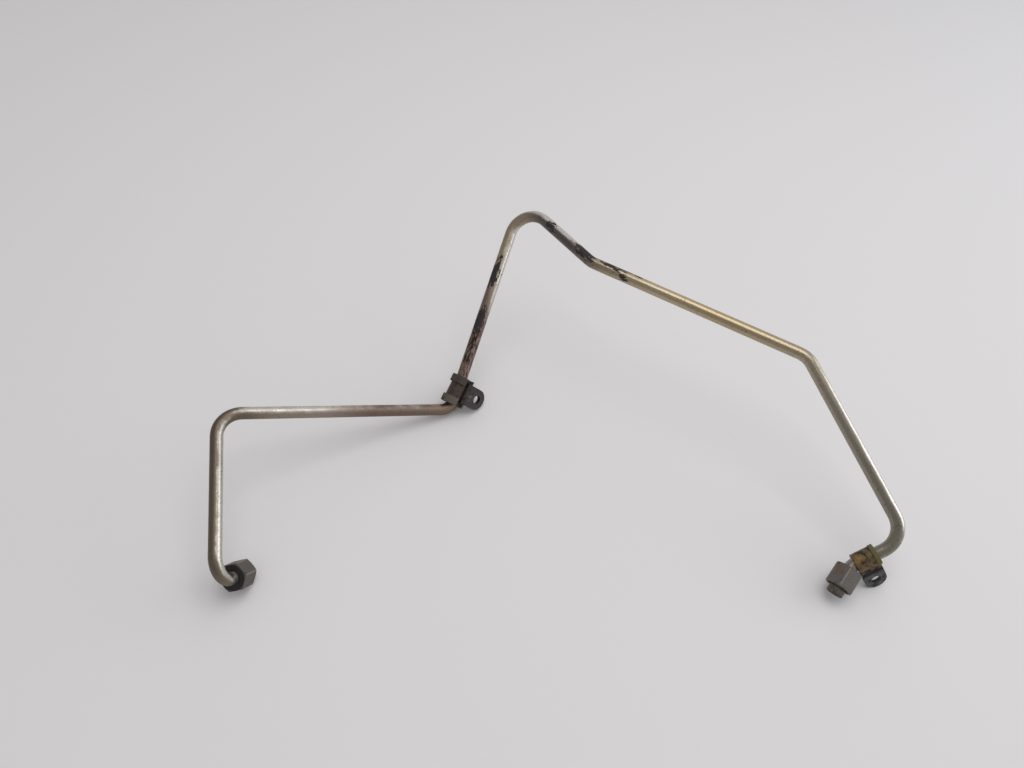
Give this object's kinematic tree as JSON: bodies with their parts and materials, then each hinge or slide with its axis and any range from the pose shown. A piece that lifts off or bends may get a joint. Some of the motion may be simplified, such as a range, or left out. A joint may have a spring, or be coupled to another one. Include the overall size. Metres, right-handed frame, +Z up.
{
  "type": "turbocharger oil line",
  "caption": "Rigid bent steel oil tube with a loose union nut and a sealing nipple at each end, and lined P-clips along its run.",
  "frame": {"origin": "on the floor, under the middle of the bounding box of the line as it lies", "axes": "+X along its longest extent, from the engine end to the turbo end; +Z up from the floor it lies on, its shortest extent"},
  "size_m": [0.4224, 0.2566, 0.0989],
  "materials": {
    "tube_steel": "bright plated steel, tarnished brown in patches",
    "nipple_steel": "plain steel, dull and stained",
    "nut_steel": "plated steel, worn and stained",
    "mid_strap_steel": "steel band, dark brown with age",
    "mid_liner_rubber": "matt, grey-brown with dust",
    "end_strap_steel": "steel band, stained gold-brown",
    "end_liner_rubber": "matt, greenish grey"
  },
  "bodies": {
    "line": {"tube": "tube_steel", "engine_end_nipple": "nipple_steel", "turbo_end_nipple": "nipple_steel", "mid_clip_strap": "mid_strap_steel", "mid_clip_liner": "mid_liner_rubber", "end_clip_strap": "end_strap_steel", "end_clip_liner": "end_liner_rubber"},
    "engine_nut": {"engine_end_nut": "nut_steel"},
    "turbo_nut": {"turbo_end_nut": "nut_steel"}
  },
  "joints": [
    {"name": "engine_nut_spin", "type": "hinge", "parent": "line", "child": "engine_nut", "pos_m": [-0.19108, -0.11917, 0.01553], "axis": [0.1821, 0.6301, -0.7548], "continuous": true},
    {"name": "turbo_nut_spin", "type": "hinge", "parent": "line", "child": "turbo_nut", "pos_m": [0.18041, -0.11255, 0.01498], "axis": [-0.5919, -0.697, -0.4049], "continuous": true}
  ]
}
